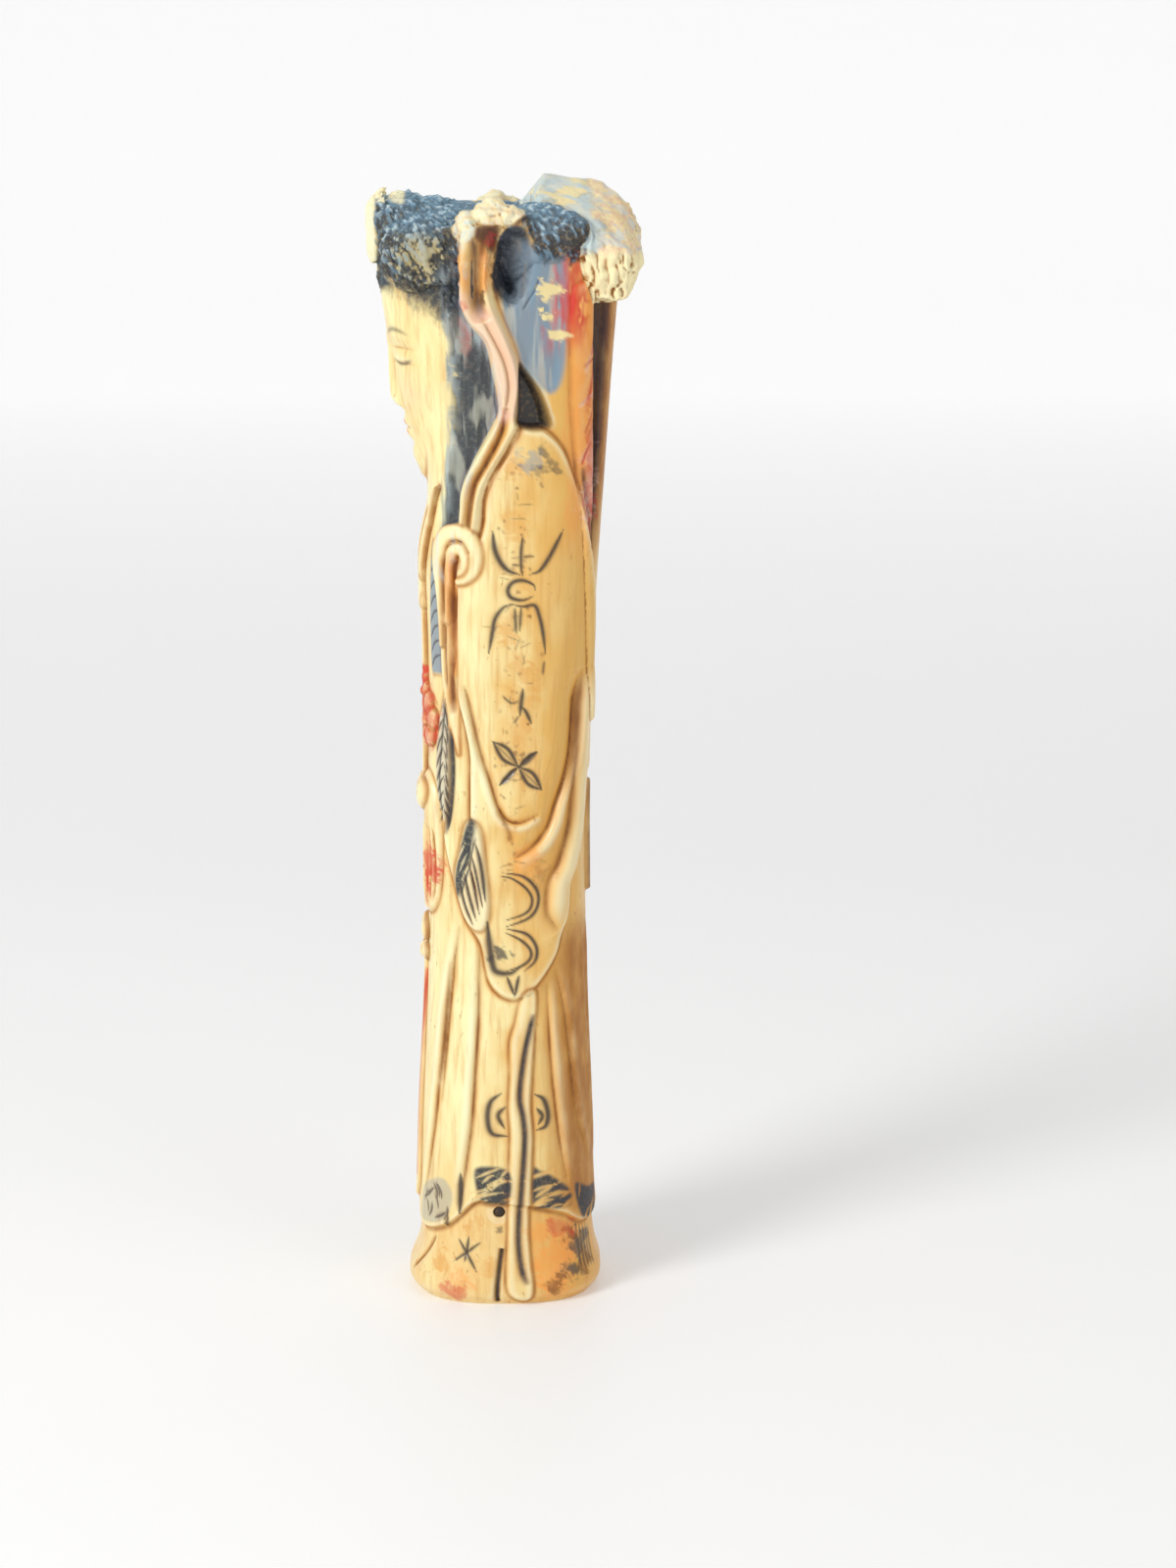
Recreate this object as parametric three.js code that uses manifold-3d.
// Carved bone figure: a robed court lady cut from one length of ox shin bone.
// Millimetres. The figure stands on its foot at height 0, faces -Y, and its left side is +X.
import * as THREE from 'three';
import { mergeVertices } from 'three/addons/utils/BufferGeometryUtils.js';
import Module from 'manifold-3d';

const wasm = await Module();
wasm.setup();

// Sections of the trimmed bone from the foot up: height, reach in front, reach behind, half width
const foot = { height: 0, front: 14.5, back: 13.7, half: 13.7 };
const mound = { height: 2.2, front: 16.3, back: 15.3, half: 15.1 };
const instep = { height: 8, front: 14.5, back: 14.1, half: 14 };
const ankle = { height: 13, front: 13.6, back: 13.6, half: 13.4 };
const shin = { height: 18, front: 13.4, back: 13.2, half: 13.4 };
const knee = { height: 50, front: 12.4, back: 12.7, half: 12.9 };
const waist = { height: 80, front: 12.2, back: 12.5, half: 12.7 };
const chest = { height: 105, front: 12, back: 13.1, half: 13 };
const shoulder = { height: 122, front: 12.4, back: 14.2, half: 13.3 };
const jaw = { height: 134, front: 11.6, back: 15.1, half: 13.4 };
const brow = { height: 152, front: 14, back: 16.4, half: 13.6 };
const crown = { height: 166, front: 17.2, back: 17.6, half: 13.9 };
const top = { height: 173.5, front: 17.8, back: 18, half: 14 };
const squareness = 2.6; // power of the rounded-square section, 2 is an ellipse

// Marrow canal, closed by a plug at each end
const canal = { foot: 6.2, middle: 6.8, crown: 4.8 };
const plugGap = 0.3;
const footPlugLength = 20;
const footPlugRecess = 0.4;
const crownPlugLength = 16;
const crownPlugDome = 0.9;

// Pegs through the bone wall into the foot plug
const pegRadius = 0.9;
const pegHeight = footPlugLength - 4.6;
const pegSetForward = 1.4;
const pegBite = 2.6;
const pegInset = 0.2; // how far the peg's end lies below the skin

// Robe
const hem = { height: 15.6, relief: 1, scallop: 1.7, top: 60 };
const pleat = { width: 1.5, depth: 0.9 };
const sleeve = { low: 51, high: jaw.height + 8, relief: 1.3 };
const fold = { width: 2.1, relief: 0.8, groove: 1.5, depth: 0.9 };
const sash = { low: 3, high: sleeve.low + 2, relief: 0.9, footRelief: 0.5 };
const collar = { low: chest.height + 8, high: jaw.height - 1, width: 2.6, relief: 1.1 };

// Scarf that hangs from the crown past the ear and curls up at the breast
const scarf = { width: 4.2, thickness: 1.9, slit: 1 };
const curl = { width: 2.7, relief: 1.8, radius: 3.4, angle: 60 };

// Head
const face = {
  chin: jaw.height, hairline: crown.height - 1, half: 12.4, centre: 4, chinReach: 13, browReach: 19.4,
};
const hair = { low: crown.height - 6.2, high: top.height + 3.5, plugRim: top.height + 1.1 };
const diadem = { low: crown.height + 0.6, high: hair.high + 0.9, half: 9.8, reach: 21.3, thick: 1.6 };
const crownFall = 5.2; // how much lower the shaft's rim lies at the back
const hollow = { low: crown.height - 5.6, high: top.height - 1.7, depth: 4.8 };
const niche = { rise: 9.4, depth: 2.6 };

// Rough joint end of the bone, left standing behind the head
const joint = {
  low: crown.height - 4.5, high: top.height + 6.5, back: 21.3, half: 12.9, front: 4.9,
};
const backRidge = { width: 4.6, relief: 0.9 };
const backGroove = { width: 3.2, depth: 1.2 };
const tassel = { low: 67, high: 84, relief: 0.9 };

// Front spray and knot
const spray = {
  low: waist.height + 4, high: chest.height + 13, petal: 2.4, leaf: 19, stem: 1.9, relief: 1.1,
};
const hand = { half: 4.4, relief: 1.5 };
const cuff = { height: waist.height - 4.5, half: 6, relief: 1.2 };
const knot = { height: sleeve.low + 6, half: 3, relief: 1.4 };
const frontSash = { low: 17, width: 3.2, relief: 1 };

const around = 32; // facets round the bone
const sink = 0.8; // how far an added form is rooted in the bone
const proud = 2.5; // how far a cutting form stands clear of the skin
const finish = 0.04; // smaller steps than this are rubbed off the carving

// Solids
function solidOf(geometry) {
  geometry.deleteAttribute('normal');
  geometry.deleteAttribute('uv');
  const merged = mergeVertices(geometry, 1e-4);
  const vertProperties = new Float32Array(merged.attributes.position.array);
  const triVerts = new Uint32Array(merged.index.array);
  return new wasm.Manifold(new wasm.Mesh({ numProp: 3, vertProperties, triVerts }));
}

function joined(solids) {
  return solids.reduce((whole, solid) => whole.add(solid));
}

// A closed solid through rings of equally many points, with a flat end on the first and last
function loft(rings) {
  const count = rings[0].length;
  const points = rings.flat();
  const faces = [];
  for (let start = 0; start < points.length - count; start += count) {
    for (let i = 0; i < count; i += 1) {
      const next = (i + 1) % count;
      faces.push(start + i, start + next, start + count + i);
      faces.push(start + next, start + count + next, start + count + i);
    }
  }
  const last = points.length - count;
  for (const [ring, start, outward] of [[rings[0], 0, false], [rings.at(-1), last, true]]) {
    const middle = ring.reduce((sum, p) => sum.add(p), new THREE.Vector3()).divideScalar(count);
    points.push(middle);
    for (let i = 0; i < count; i += 1) {
      const edge = [start + i, start + (i + 1) % count];
      faces.push(...(outward ? edge : edge.reverse()), points.length - 1);
    }
  }
  if (volumeWithin(points, faces) < 0) faces.reverse();
  const geometry = new THREE.BufferGeometry().setFromPoints(points);
  geometry.setIndex(faces);
  return solidOf(geometry);
}

function volumeWithin(points, faces) {
  let volume = 0;
  for (let i = 0; i < faces.length; i += 3) {
    const [a, b, c] = [points[faces[i]], points[faces[i + 1]], points[faces[i + 2]]];
    volume += a.dot(new THREE.Vector3().crossVectors(b, c)) / 6;
  }
  return volume;
}

// The bone's skin. Places on it are an angle round the bone, in degrees from the front towards the
// left side, and a height.
const sections = [
  foot, mound, instep, ankle, shin, knee, waist, chest, shoulder, jaw, brow, crown, top,
];

function sectionAt(height) {
  const above = sections.findIndex((section) => section.height > height);
  if (above < 0) return top;
  if (above === 0) return foot;
  const [low, high] = [sections[above - 1], sections[above]];
  const share = (height - low.height) / (high.height - low.height);
  return {
    front: THREE.MathUtils.lerp(low.front, high.front, share),
    back: THREE.MathUtils.lerp(low.back, high.back, share),
    half: THREE.MathUtils.lerp(low.half, high.half, share),
  };
}

function outward(angle) {
  const turn = THREE.MathUtils.degToRad(angle);
  return new THREE.Vector3(Math.sin(turn), -Math.cos(turn), 0);
}

function reachAt(angle, height) {
  const section = sectionAt(height);
  const way = outward(angle);
  const depth = way.y < 0 ? section.front : section.back;
  const sum = Math.abs(way.x / section.half) ** squareness + Math.abs(way.y / depth) ** squareness;
  return sum ** (-1 / squareness);
}

function onSkin(angle, height, lift = 0) {
  return outward(angle).multiplyScalar(reachAt(angle, height) + lift).setZ(height);
}

// Rows or stops drawn through a few chosen ones
function smooth(stops, steps) {
  const route = new THREE.CatmullRomCurve3(stops.map((stop) => new THREE.Vector3(...stop)));
  return route.getPoints(steps).map((point) => point.toArray());
}

// A raised panel, or a cutter. Its rows give a height and the angles of its two edges.
function panel(rows, bottom, crest, steps = 14, columns = 8) {
  const rings = smooth(rows, steps).map(([height, from, to]) => {
    const ring = [];
    for (let i = 0; i <= columns; i += 1) {
      const share = i / columns;
      const swell = Math.min(1, 0.45 + 2.4 * Math.min(share, 1 - share));
      ring.push(onSkin(from + (to - from) * share, height, crest * swell));
    }
    ring.push(onSkin(to, height, bottom));
    ring.push(onSkin((from + to) / 2, height, bottom));
    ring.push(onSkin(from, height, bottom));
    return ring;
  });
  return loft(rings);
}

// A strip that follows stops of angle, height and lift. Its section is a list of sideways places, as
// shares of the width, and heights above the stop.
function strip(stops, width, section, steps, pointed = 0.2) {
  const route = smooth(stops.map(([angle, height, lift = 0]) => [angle, height, lift]), steps);
  const spine = route.map((stop) => onSkin(...stop));
  const rings = spine.map((point, i) => {
    const ahead = spine[Math.min(i + 1, steps)].clone().sub(spine[Math.max(i - 1, 0)]).normalize();
    const out = outward(route[i][0]);
    const sideways = new THREE.Vector3().crossVectors(ahead, out).normalize();
    const share = i / steps;
    const taper = pointed ? Math.min(1, 0.12 + share / pointed, 0.12 + (1 - share) / pointed) : 1;
    return section.map(([across, up]) => point.clone()
      .addScaledVector(sideways, across * width * taper)
      .addScaledVector(out, up > 0 ? up * taper : up));
  });
  return loft(rings);
}

function ridge(stops, width, relief, steps = 10, pointed = 0.2) {
  const section = [[-0.5, -sink], [-0.24, relief], [0.24, relief], [0.5, -sink]];
  return strip(stops, width, section, steps, pointed);
}

function groove(stops, width, depth, steps = 10, pointed = 0.25) {
  const clear = 1.6 * fold.relief;
  const flare = 0.5 * (clear + depth) / depth;
  return strip(stops, width, [[-flare, clear], [flare, clear], [0, -depth]], steps, pointed);
}

// A rounded lump on the skin, sized across, upward and outward
function lump(angle, height, lift, across, up, out, spin = 0) {
  const geometry = new THREE.SphereGeometry(1, 8, 5);
  geometry.scale(across, up, out);
  geometry.rotateZ(THREE.MathUtils.degToRad(spin));
  const sideways = outward(angle + 90);
  const basis = new THREE.Matrix4().makeBasis(sideways, new THREE.Vector3(0, 0, 1), outward(angle));
  geometry.applyMatrix4(basis.setPosition(onSkin(angle, height, lift)));
  return solidOf(geometry);
}

// Height at a share of the way from one level to another
function between(low, high, share) {
  return THREE.MathUtils.lerp(low, high, share);
}

// Panel rows on one side, from shares of the way between two levels with the angles of the edges
function rowsOn(side, rows, low, high) {
  return rows.map(([share, from, to]) => [between(low, high, share), side * from, side * to]);
}

// Stops on one side, from angles and shares of the way between two levels
function stopsOn(side, stops, low, high, lift = 0) {
  return stops.map(([angle, share]) => [side * angle, between(low, high, share), lift]);
}

// The bone, trimmed to its sections. Its rim falls towards the back.
function shaft() {
  return loft(sections.map((section) => {
    const ring = [];
    for (let i = 0; i < around; i += 1) {
      const angle = 360 * i / around;
      const behind = THREE.MathUtils.smoothstep(Math.abs(180 - Math.abs(angle - 180)), 104, 142);
      ring.push(onSkin(angle, section.height - (section === top ? crownFall * behind : 0)));
    }
    return ring;
  }));
}

// Skirt with a scalloped hem that stands proud of the foot, faded into the bone at its top
function skirt() {
  const scallops = 10;
  const hemAt = (angle) => hem.height
    + hem.scallop * Math.abs(Math.cos(THREE.MathUtils.degToRad(angle * scallops / 2)));
  const levels = [[0, -sink], [0, hem.relief], [0.5, hem.relief * 0.8], [1, -sink / 4]];
  return loft(levels.map(([share, lift]) => {
    const ring = [];
    for (let i = 0; i < around * 1.2; i += 1) {
      const angle = 360 * i / (around * 1.2);
      ring.push(onSkin(angle, between(hemAt(angle), hem.top, share), lift));
    }
    return ring;
  }));
}

// Long hanging sleeve on one side. Rows are shares of its length with the angles of its edges.
function sleeveOn(side) {
  const rows = [
    [0, 91, 97], [0.015, 84, 105], [0.04, 77, 114], [0.08, 73, 124], [0.15, 71, 134], [0.22, 71, 137],
    [0.29, 69, 145], [0.38, 67, 148], [0.5, 63, 150], [0.58, 56, 151], [0.68, 62, 152], [0.75, 70, 152],
    [0.83, 77, 143], [0.88, 78, 137], [0.92, 82, 133], [0.96, 90, 127], [0.985, 95, 118], [1, 99, 110],
  ];
  return panel(rowsOn(side, rows, sleeve.low, sleeve.high), -sink, sleeve.relief, 14, 6);
}

// Lines on one sleeve, as angles and shares of its length: grooves, and the rolls of cloth between them
const sleeveLines = {
  deepU: [
    [64, 0.56], [71, 0.46], [78, 0.39], [86, 0.32], [95, 0.27],
    [108, 0.28], [120, 0.33], [131, 0.4], [139, 0.56],
  ],
  smallU: [[85, 0.35], [91, 0.33], [100, 0.32], [112, 0.34]],
  backFall: [[143, 0.56], [138, 0.4], [130, 0.29], [119, 0.21], [118, 0.16], [123, 0.12]],
  frontFall: [[59, 0.54], [66, 0.44], [68, 0.34], [75, 0.26], [83, 0.17], [84, 0.13]],
};
const sleeveRolls = {
  outerU: [
    [68, 0.46], [76, 0.36], [84, 0.28], [95, 0.235], [108, 0.245], [121, 0.3], [132, 0.37], [138, 0.5],
  ],
  backRoll: [[146, 0.44], [141, 0.33], [133, 0.26], [126, 0.2], [124, 0.16]],
};

function sleeveGrooves(side) {
  return Object.values(sleeveLines).map((line) => {
    const stops = stopsOn(side, line, sleeve.low, sleeve.high, sleeve.relief);
    return groove(stops, fold.groove, fold.depth, 8);
  });
}

function sleeveFolds(side) {
  return Object.values(sleeveRolls).map((line) => {
    const stops = stopsOn(side, line, sleeve.low, sleeve.high, sleeve.relief);
    return ridge(stops, fold.width, fold.relief, 8, 0.35);
  });
}

// Scarf: down from the crown past the ear to the breast, where an arm that rises from the waist curls in
function scarfOn(side) {
  const fall = [
    [87, 1.31], [79, 1.2], [75, 1.08], [73.5, 0.95], [77, 0.84], [84, 0.73], [91, 0.6], [92.5, 0.47],
    [91, 0.35], [86, 0.22], [74, 0.04], [68.5, -0.12], [66.5, -0.27],
  ];
  const section = [
    [-0.5, -sink], [-0.46, scarf.thickness * 0.6], [0, scarf.thickness],
    [0.46, scarf.thickness * 0.6], [0.5, -sink],
  ];
  const stops = stopsOn(side, fall, face.chin, face.hairline);
  return strip(stops, scarf.width, section, 15, 0.06);
}

// The curl is a part turn of a spiral round its eye, reached by an arm that rises from the waist
function scarfCurlOn(side) {
  const eye = shoulder.height - 0.1 * curl.radius;
  const stops = [
    [51, chest.height - curl.radius / 2], [51, between(chest.height, eye, 0.5)],
    [48, eye - 0.9 * curl.radius], [46.5, eye],
  ];
  for (const turn of [55, 90, 125, 180, 235, 280, 320]) {
    const radius = curl.radius * (1 - turn / 700);
    const way = THREE.MathUtils.degToRad(turn);
    const swing = THREE.MathUtils.radToDeg(radius * Math.cos(way) / shoulder.half);
    stops.push([curl.angle - swing, eye + radius * Math.sin(way)]);
  }
  const placed = stops.map(([angle, height]) => [side * angle, height]);
  return ridge(placed, curl.width, curl.relief, 17, 0.08);
}

function scarfGrooveOn(side) {
  const split = [[89, 0.34], [86, 0.22], [77, 0.1], [70, -0.02], [68, -0.12], [66, -0.24]];
  const stops = stopsOn(side, split, face.chin, face.hairline, scarf.thickness);
  return groove(stops, scarf.slit, scarf.thickness / 3, 6);
}

// Narrow sash that hangs from the sleeve's tip over the skirt, and runs out low on the foot
function sashOn(side) {
  const rows = [[0.22, 90.5, 105], [0.5, 92, 106], [0.75, 92, 105], [0.9, 94, 108], [1, 99, 109]];
  const end = [[0, 91, 104], [0.12, 90.5, 104], [0.26, 90.5, 105]];
  const fall = panel(rowsOn(side, rows, sash.low, sash.high), -sink, hem.relief + sash.relief, 7, 3);
  return fall.add(panel(rowsOn(side, end, sash.low, sash.high), -sink, sash.footRelief, 3, 3));
}

function sashGrooveOn(side) {
  const line = [[98, 0.24], [99, 0.4], [101, 0.52], [98.5, 0.65], [100, 0.76], [105, 0.9]];
  const stops = stopsOn(side, line, sash.low, sash.high, hem.relief + sash.relief);
  return groove(stops, sash.relief, sash.relief * 0.7, 8);
}

// Pleats of the skirt: angle at the top, angle at the hem, and the share of the skirt where each starts
const pleats = [
  [52, 33, 0.9], [59, 47, 0.95], [71, 60, 0.95], [117, 130, 0.86], [127, 147, 0.9], [12, 13, 0.8],
  [24, 22, 0.88], [165, 163, 0.95],
];

function pleatGroovesOn(side) {
  return pleats.map(([above, below, start]) => {
    const stops = [0, 0.3, 0.65, 1].map((share) => [
      side * between(below, above, share * share * (3 - 2 * share)),
      between(hem.height - hem.relief, hem.top, share * start), hem.relief * (1 - 0.5 * share),
    ]);
    return groove(stops, pleat.width, pleat.depth, 3, 0.5);
  });
}

// Head: a smooth oval face that leans forward from the chin to the hairline
function faceReach(share) {
  const bulge = 0.07 * face.half * Math.sin(Math.PI * THREE.MathUtils.clamp(share, 0, 1));
  return between(face.chinReach, face.browReach, share) + bulge;
}

function headForm() {
  const levels = [-0.04, 0, 0.06, 0.14, 0.24, 0.36, 0.5, 0.64, 0.78, 0.9, 1.05];
  return loft(levels.map((share) => {
    const half = face.half * (1 - 0.62 * Math.max(0, 1 - share / 0.55) ** 2.2);
    const chinRound = face.half * Math.max(0, 0.08 - share);
    const ring = [];
    for (let i = 0; i < 20; i += 1) {
      const turn = 2 * Math.PI * i / 20;
      const depth = Math.cos(turn) > 0 ? faceReach(share) - chinRound - face.centre : face.centre;
      const x = half * Math.sign(Math.sin(turn)) * Math.abs(Math.sin(turn)) ** 0.92;
      const height = between(face.chin, face.hairline, share);
      ring.push(new THREE.Vector3(x, -face.centre - depth * Math.cos(turn), height));
    }
    return ring;
  }));
}

// A lump on the face. Its height is a share of the face's height, all else are shares of its half width.
function feature(across, share, lift, [half, tall, out], tilt = 0) {
  const geometry = new THREE.SphereGeometry(face.half, 8, 6);
  geometry.scale(half, out, tall);
  geometry.rotateY(THREE.MathUtils.degToRad(tilt));
  const back = (faceReach(share) - face.centre) * (1 - Math.sqrt(1 - across ** 2));
  const y = back - lift * face.half - faceReach(share);
  geometry.translate(across * face.half, y, between(face.chin, face.hairline, share));
  return solidOf(geometry);
}

function nose() {
  const rings = [
    [0.34, 0.19, 0.13], [0.39, 0.19, 0.156], [0.48, 0.125, 0.12], [0.6, 0.092, 0.07], [0.68, 0.108, 0.02],
  ];
  return loft(rings.map(([share, half, rise]) => {
    const section = [[-1, 0.117], [-0.5, -rise], [0.5, -rise], [1, 0.117]];
    const height = between(face.chin, face.hairline, share);
    return section.map(([across, back]) => (
      new THREE.Vector3(across * half * face.half, back * face.half - faceReach(share), height)
    ));
  }));
}

function eyeHollows() {
  return [-1, 1].map((side) => feature(side * 0.43, 0.6, 0.075, [0.3, 0.16, 0.125], side * 4));
}

function faceForms() {
  const lips = [[0.245, 0.24, 0.062], [0.19, 0.19, 0.067]].map(([share, half, tall]) => (
    feature(0, share, -0.01, [half, tall, 0.067])
  ));
  const chin = feature(0, 0.08, -0.04, [0.25, 0.16, 0.09]);
  const eyes = [-1, 1].map((side) => feature(side * 0.43, 0.585, -0.03, [0.24, 0.1, 0.075], side * 4));
  return [nose(), ...lips, chin, ...eyes];
}

// Hair: rounded masses that run together. Each row gives its middle across, ahead and as a share of the
// hair's height, then its half sizes. Lengths ahead are in shares of the hair's reach to the diadem, the
// others in half widths of the crown.
const hairMasses = {
  bun: [0, 0.55, 0.5, 0.78, 0.423, 0.62],
  cap: [0, 0.303, 0.56, 0.89, 0.691, 0.475],
  saddle: [0, -0.233, 0.49, 1, 0.536, 0.51],
};
const hairMassesOnSide = {
  temple: [0.55, 0.624, 0.48, 0.475, 0.321, 0.505],
  fringe: [0.43, 0.769, 0.63, 0.33, 0.212, 0.4],
  scarfKnot: [0.915, -0.014, 0.9, 0.19, 0.233, 0.14],
};

function hairMass([across, ahead, share, wide, deep, tall], side = 1) {
  const reach = diadem.reach - diadem.thick;
  const geometry = new THREE.SphereGeometry(1, 12, 8);
  geometry.rotateX(Math.PI / 2);
  geometry.scale(wide * crown.half, deep * reach, tall * crown.half);
  const height = between(hair.low, hair.high, share);
  geometry.translate(side * across * crown.half, -ahead * reach, height);
  return solidOf(geometry);
}

function hairForms() {
  const middle = Object.values(hairMasses);
  const onSides = Object.values(hairMassesOnSide);
  return [...middle.map((mass) => hairMass(mass)), ...[-1, 1].flatMap((side) => (
    onSides.map((mass) => hairMass(mass, side))
  ))];
}

// Worn diadem, a thin curved plate that stands in front of the bun
function diademForm() {
  const steps = 8;
  const rings = [];
  for (let i = 0; i <= steps; i += 1) {
    const across = 2 * i / steps - 1;
    const front = diadem.reach - 0.3 * diadem.half * across ** 2;
    const low = diadem.low + 0.2 * diadem.half * across ** 2;
    const high = diadem.high - 0.29 * diadem.half * across ** 2;
    const back = front - diadem.thick;
    const corners = [[front, low], [front, high], [back, high], [back, low]];
    rings.push(corners.map(([ahead, height]) => new THREE.Vector3(across * diadem.half, -ahead, height)));
  }
  return loft(rings);
}

// Deep dark hollow between the scarf and the hair, and a small niche above the sleeve
function hollowsOn(side) {
  const mouth = [[0, 89, 97], [0.25, 85, 106], [0.6, 84, 108], [0.9, 88, 105], [1, 90, 102]];
  const gap = [[0, 97, 121], [0.35, 98, 118], [0.7, 99.5, 112], [1, 100, 105]];
  return [
    panel(rowsOn(side, mouth, hollow.low, hollow.high), -hollow.depth, proud, 6, 3),
    panel(rowsOn(side, gap, sleeve.high, sleeve.high + niche.rise), -niche.depth, proud, 5, 3),
  ];
}

// Joint end: a broken block behind the head, from its corners. Each row gives a place across in half
// widths, then shares of the way from front to back and from bottom to top.
const jointCorners = [
  [-0.15, 0.08, 1], [0, 0.68, 0.96], [0.08, 0.87, 0.83], [0.23, 0.97, 0.52], [0.51, 0.01, 0.86],
  [0.73, 0.2, 0.73], [0.88, 0.42, 0.52], [1, 0.49, 0.38], [1, 0.88, 0.36], [0.95, 0.49, 0],
  [0.87, 0.84, 0.01], [0.85, 0.93, 0.18], [0.47, 1, 0.31], [-0.47, 1, 0.34], [0.39, 0.87, 0],
  [-0.54, 0.86, 0], [-0.78, 0.12, 0.88], [-0.99, 0.43, 0.83], [-0.87, 0.84, 0.72], [-0.98, 0.31, 0],
  [-0.85, 0.82, 0], [-0.31, 0, 0.85], [0.31, 0, 0.44], [-0.47, 0, 0.44],
];

function jointEnd() {
  const corners = jointCorners.map(([across, deep, share]) => (
    [across * joint.half, between(joint.front, joint.back, deep), between(joint.low, joint.high, share)]
  ));
  return wasm.Manifold.hull(corners);
}

function backRidgeOn(side) {
  const line = [[139, 0.99], [141, 0.81], [146, 0.63], [151, 0.45], [154, 0.28], [158, 0]];
  const stops = stopsOn(side, line, chest.height, joint.low);
  return ridge(stops, backRidge.width, backRidge.relief, 6, 0.3);
}

function backGrooveLine() {
  const line = [[168, 0.99], [170, 0.7], [172, 0.35], [174, 0], [175, -0.35]];
  return groove(stopsOn(1, line, chest.height, joint.low), backGroove.width, backGroove.depth, 6);
}

function backTassel() {
  const rows = [[0, 174, 186], [0.2, 170, 190], [0.6, 171, 189], [0.9, 174, 186], [1, 177, 183]];
  return panel(rowsOn(1, rows, tassel.low, tassel.high), -sink, tassel.relief, 5, 3);
}

// Front: crossed collar, a hand that holds a spray of leaves with one flower, a knot and a sash
function collarOn(side) {
  const stops = stopsOn(side, [[44, 1], [26, 0.6], [-4, 0]], collar.low, collar.high);
  return ridge(stops, collar.width, collar.relief, 5, 0.1);
}

function leafOn(side) {
  const rows = [[0, 38, 40], [0.2, 33, 46], [0.5, 31, 50], [0.8, 36, 52], [1, 43, 46]];
  const low = spray.low - spray.petal;
  return panel(rowsOn(side, rows, low, low + spray.leaf), -sink, spray.relief * 0.7, 5, 3);
}

function flowerForms() {
  const heart = spray.low + 2.5 * spray.petal;
  const ring = 1.15 * spray.petal;
  const half = 0.8 * spray.petal;
  const forms = [lump(0, heart, 0, 1.5 * spray.petal, 1.5 * spray.petal, 1.1 * spray.relief)];
  for (let petal = 0; petal < 6; petal += 1) {
    const turn = Math.PI * petal / 3;
    const angle = THREE.MathUtils.radToDeg(ring * Math.cos(turn) / waist.front);
    forms.push(lump(angle, heart + ring * Math.sin(turn), 0, half, half, spray.relief));
  }
  return forms;
}

function frontSashOn(side) {
  const stops = stopsOn(side, [[8.5, 0], [8, 0.5], [6, 1]], frontSash.low, knot.height);
  return ridge(stops, frontSash.width, hem.relief + frontSash.relief, 5, 0.04);
}

function knotForms() {
  const ears = [-1, 1].map((side) => (
    lump(side * 11, knot.height, 0, 0.9 * knot.half, 0.7 * knot.half, knot.relief, side * 20)
  ));
  return [...ears, lump(0, knot.height, knot.relief / 6, 0.6 * knot.half, 0.8 * knot.half, knot.relief)];
}

function frontForms() {
  const stem = stopsOn(1, [[2, 1], [-5, 0.5], [0, 0.08]], spray.low, spray.high);
  return [
    ...[-1, 1].flatMap((side) => [collarOn(side), leafOn(side), frontSashOn(side)]),
    ...flowerForms(), ...knotForms(), ridge(stem, spray.stem, spray.relief, 6),
    lump(0, spray.high + hand.half / 3, 0, hand.half, hand.half, hand.relief, 12),
    lump(4, cuff.height, 0, cuff.half, 0.7 * cuff.half, cuff.relief, -20),
  ];
}

// A turned solid about the figure's axis, from a profile of radius and height
function turned(profile) {
  const geometry = new THREE.LatheGeometry(profile.map((point) => new THREE.Vector2(...point)), 28);
  geometry.rotateX(Math.PI / 2);
  return solidOf(geometry);
}

// Marrow canal as a solid to cut away: a straight seat for each plug, swelling a little between them
function canalForm() {
  const crownSeat = hair.plugRim - crownPlugLength;
  return turned([
    [0, -proud], [canal.foot, -proud], [canal.foot, footPlugLength + plugGap],
    [canal.middle, between(footPlugLength, crownSeat, 0.5)],
    [canal.crown, crownSeat], [canal.crown, joint.high + proud], [0, joint.high + proud],
  ]);
}

// A peg, or the hole for one, from inside the foot plug to a distance from the axis
function pegForm(side, radius, end) {
  const root = canal.foot - pegBite;
  const geometry = new THREE.CylinderGeometry(radius, radius, end - root, 12);
  geometry.rotateZ(Math.PI / 2);
  geometry.translate(side * (root + end) / 2, -pegSetForward, pegHeight);
  return solidOf(geometry);
}

function pegHoles() {
  return joined([-1, 1].map((side) => pegForm(side, pegRadius + plugGap, mound.half + proud)));
}

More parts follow.
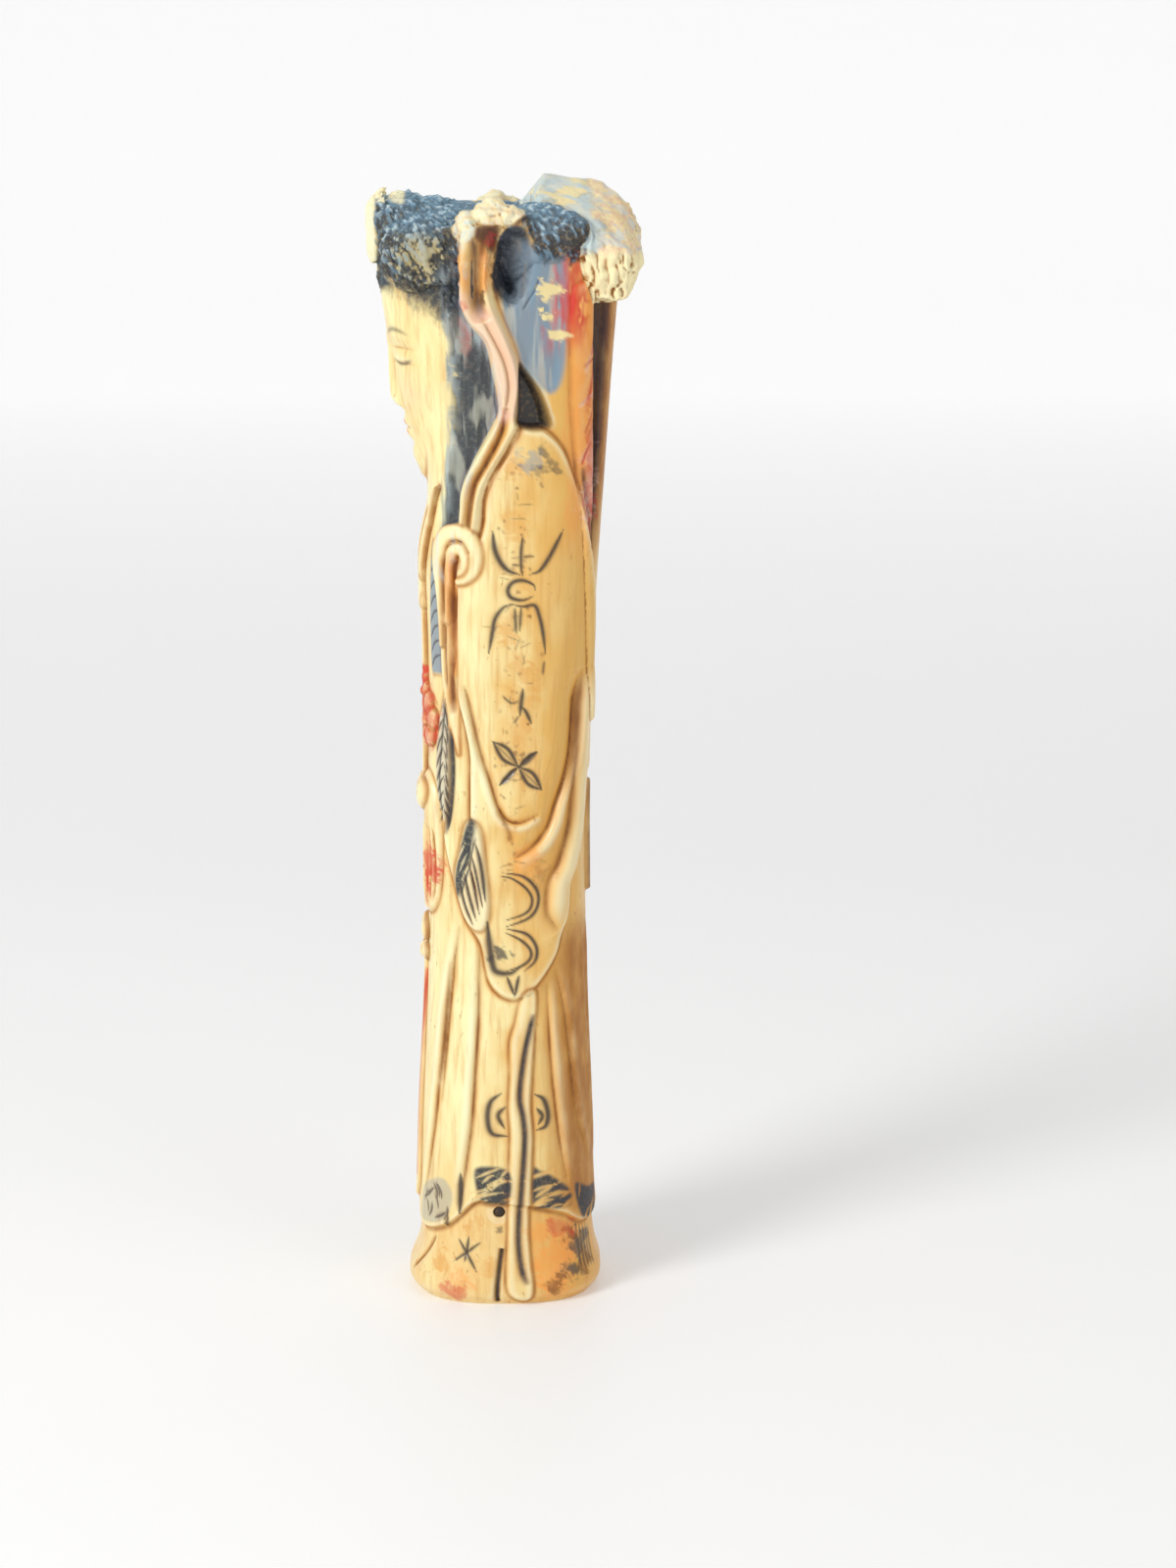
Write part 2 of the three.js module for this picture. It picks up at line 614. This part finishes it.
// Everything that is cut from the one bone
function carvedBone() {
  const sides = [-1, 1];
  const cloth = sides.flatMap((side) => [sleeveOn(side), sashOn(side), ...sleeveFolds(side)]);
  const cuts = sides.flatMap((side) => [
    ...sleeveGrooves(side), ...pleatGroovesOn(side), sashGrooveOn(side), ...hollowsOn(side),
  ]);
  const head = headForm().subtract(joined(eyeHollows()));
  const scarves = sides.map((side) => (
    scarfOn(side).subtract(scarfGrooveOn(side)).add(scarfCurlOn(side)).add(backRidgeOn(side))
  ));
  const robe = joined([shaft(), skirt(), ...cloth]).subtract(joined(cuts));
  const whole = joined([
    robe, head, ...faceForms(), ...hairForms(), diademForm(), ...scarves, ...frontForms(), jointEnd(),
    backTassel(),
  ]);
  return whole.subtract(joined([backGrooveLine(), canalForm(), pegHoles()])).simplify(finish);
}

// A plug with a small bevel below and a domed top
function plug(radius, low, high, dome) {
  const bevel = 0.08 * radius;
  return turned([
    [0, low], [radius - bevel, low], [radius, low + bevel], [radius, high - dome],
    [radius * 0.7, high - dome * 0.3], [0, high],
  ]);
}

function footPlug() {
  return plug(canal.foot - plugGap, footPlugRecess, footPlugLength, 0.1 * canal.foot).subtract(pegHoles());
}

function crownPlug() {
  const seat = hair.plugRim - crownPlugLength;
  return plug(canal.crown - plugGap, seat + plugGap, hair.plugRim + crownPlugDome, crownPlugDome);
}

// Named meshes
const bone = new THREE.MeshStandardMaterial({ color: 0xe3cc93, roughness: 0.42, metalness: 0 });
const boneEnd = new THREE.MeshStandardMaterial({ color: 0xcbb07a, roughness: 0.6, metalness: 0 });
const inkedBone = new THREE.MeshStandardMaterial({ color: 0x2c2f33, roughness: 0.62, metalness: 0 });
const pegBone = new THREE.MeshStandardMaterial({ color: 0x4a3a28, roughness: 0.6, metalness: 0 });

function meshOf(name, solid, material) {
  const { vertProperties, triVerts } = solid.getMesh();
  const geometry = new THREE.BufferGeometry();
  geometry.setAttribute('position', new THREE.BufferAttribute(new Float32Array(vertProperties), 3));
  geometry.setIndex(new THREE.BufferAttribute(new Uint32Array(triVerts), 1));
  geometry.computeVertexNormals();
  const mesh = new THREE.Mesh(geometry, material);
  mesh.name = name;
  return mesh;
}

const figure = new THREE.Group();
figure.name = 'carved_bone_figure';
figure.add(meshOf('carved_bone', carvedBone(), bone));
figure.add(meshOf('crown_plug', crownPlug(), inkedBone));
figure.add(meshOf('foot_plug', footPlug(), boneEnd));
const pegEnd = sectionAt(pegHeight).half - pegInset;
figure.add(meshOf('left_peg', pegForm(1, pegRadius, pegEnd), pegBone));
figure.add(meshOf('right_peg', pegForm(-1, pegRadius, pegEnd), pegBone));

export default figure;
